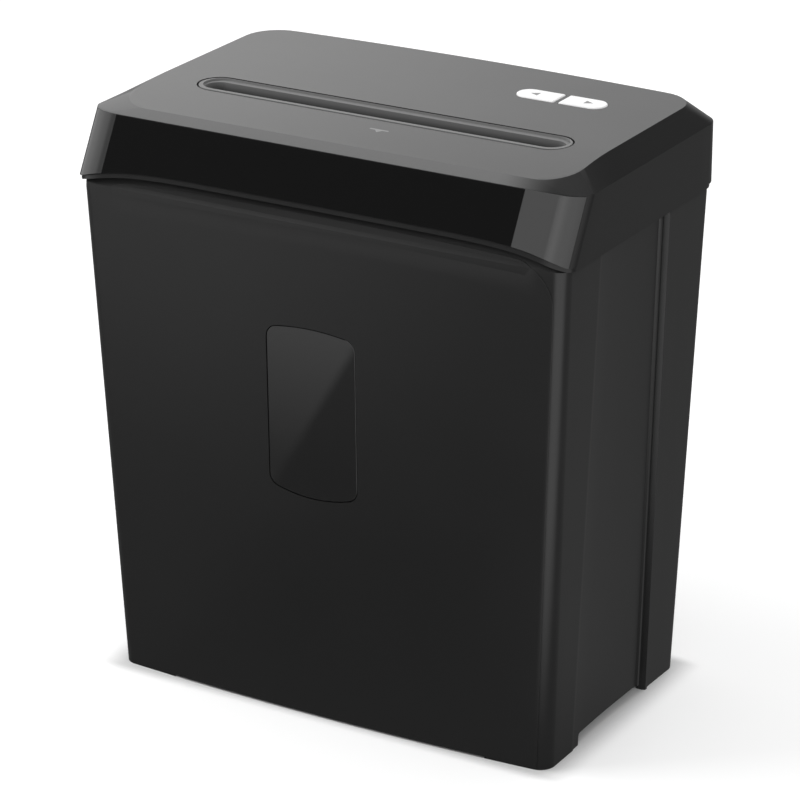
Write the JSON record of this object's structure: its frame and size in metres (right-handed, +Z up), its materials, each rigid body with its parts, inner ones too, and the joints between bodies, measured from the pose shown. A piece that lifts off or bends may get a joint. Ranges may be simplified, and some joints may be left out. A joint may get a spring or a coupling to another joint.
{
  "type": "paper shredder",
  "caption": "Cross-cut paper shredder: a motor-driven cutting head with a top feed slot and press keys, standing on a tapered lift-off waste bin with a window.",
  "frame": {"origin": "centre of the footprint on the floor", "axes": "+Z up, +X to the right seen from the front, -Y out of the front with the window"},
  "size_m": [0.322, 0.191, 0.3553],
  "materials": {
    "bin_plastic": "satin moulded",
    "smoked_window": "smoked gloss",
    "seal_rubber": "matt",
    "deck_plastic": "fine grain",
    "gloss_black": "piano gloss",
    "base_plastic": "satin moulded",
    "white_plastic": "gloss",
    "inner_plastic": "plain moulded",
    "board_green": "lacquered",
    "plate_steel": "zinc plated",
    "bright_steel": "turned",
    "cutter_steel": "hardened and oiled",
    "sintered_brass": "sintered",
    "copper_winding": "lacquered winding",
    "gear_nylon": "plain moulded"
  },
  "bodies": {
    "bin": {"bin_shell": "bin_plastic", "bin_window": "smoked_window", "window_seal": "seal_rubber"},
    "rear_roll": {"rear_cutter_shaft": "bright_steel", "rear_cutter_discs": "cutter_steel", "drive_gear": "cutter_steel", "rear_sync_gear": "cutter_steel"},
    "front_roll": {"front_cutter_shaft": "bright_steel", "front_cutter_discs": "cutter_steel", "front_sync_gear": "cutter_steel"},
    "second_gear": {"second_reduction_gear": "gear_nylon"},
    "first_gear": {"first_reduction_gear": "gear_nylon"},
    "rotor": {"motor_shaft": "bright_steel", "motor_pinion": "sintered_brass", "motor_armature": "copper_winding"},
    "reverse_key": {"reverse_button": "white_plastic"},
    "forward_key": {"forward_button": "white_plastic"},
    "feed_sensor": {"feed_lever": "white_plastic"},
    "interlock": {"interlock_plunger": "white_plastic"},
    "head": {"head_cover": "deck_plastic", "front_fascia": "gloss_black", "head_base": "base_plastic", "throat_insert": "base_plastic", "button_bracket": "inner_plastic", "circuit_board": "board_green", "board_components": "inner_plastic", "tact_switches": "inner_plastic", "terminal_block": "white_plastic", "left_frame_plate": "plate_steel", "right_frame_plate": "plate_steel", "tie_rods": "bright_steel", "plate_screws": "bright_steel", "front_comb": "inner_plastic", "rear_comb": "inner_plastic", "shaft_bushes": "sintered_brass", "motor_can": "plate_steel", "motor_end_cap": "inner_plastic", "gear_posts": "bright_steel", "post_clips": "bright_steel", "feed_switch": "inner_plastic", "interlock_switch": "inner_plastic", "interlock_guide": "inner_plastic", "cord_gland": "seal_rubber", "housing_screws": "bright_steel"}
  },
  "joints": [
    {"name": "head_lift", "type": "slide", "parent": "bin", "child": "head", "axis": [0, 0, 1], "range_m": [0, 0.12]},
    {"name": "rear_roll_spin", "type": "hinge", "parent": "head", "child": "rear_roll", "pos_m": [0, -0.0054, 0.296], "axis": [1, 0, 0], "continuous": true},
    {"name": "front_roll_spin", "type": "hinge", "parent": "head", "child": "front_roll", "pos_m": [0, -0.0354, 0.296], "axis": [1, 0, 0], "continuous": true},
    {"name": "second_gear_spin", "type": "hinge", "parent": "head", "child": "second_gear", "pos_m": [0, 0.02884, 0.30712], "axis": [1, 0, 0], "continuous": true},
    {"name": "first_gear_spin", "type": "hinge", "parent": "head", "child": "first_gear", "pos_m": [0, 0.052, 0.321], "axis": [1, 0, 0], "continuous": true},
    {"name": "rotor_spin", "type": "hinge", "parent": "head", "child": "rotor", "pos_m": [0, 0.052, 0.297], "axis": [1, 0, 0], "continuous": true},
    {"name": "reverse_press", "type": "slide", "parent": "head", "child": "reverse_key", "axis": [0, 0, -1], "range_m": [0, 0.001], "stiffness_N_per_m": 800},
    {"name": "forward_press", "type": "slide", "parent": "head", "child": "forward_key", "axis": [0, 0, -1], "range_m": [0, 0.001], "stiffness_N_per_m": 800},
    {"name": "feed_lever_swing", "type": "hinge", "parent": "head", "child": "feed_sensor", "pos_m": [0, -0.009, 0.334], "axis": [1, 0, 0], "range_deg": [0, 20], "stiffness_Nm_per_rad": 0.01},
    {"name": "interlock_press", "type": "slide", "parent": "head", "child": "interlock", "axis": [0, 0, 1], "range_m": [0, 0.003], "stiffness_N_per_m": 300}
  ],
  "couplings": [
    {"joint": "front_roll_spin", "follows": "rear_roll_spin", "ratio": -1},
    {"joint": "second_gear_spin", "follows": "rear_roll_spin", "ratio": -3},
    {"joint": "first_gear_spin", "follows": "rear_roll_spin", "ratio": 10.5},
    {"joint": "rotor_spin", "follows": "rear_roll_spin", "ratio": -52.5}
  ]
}
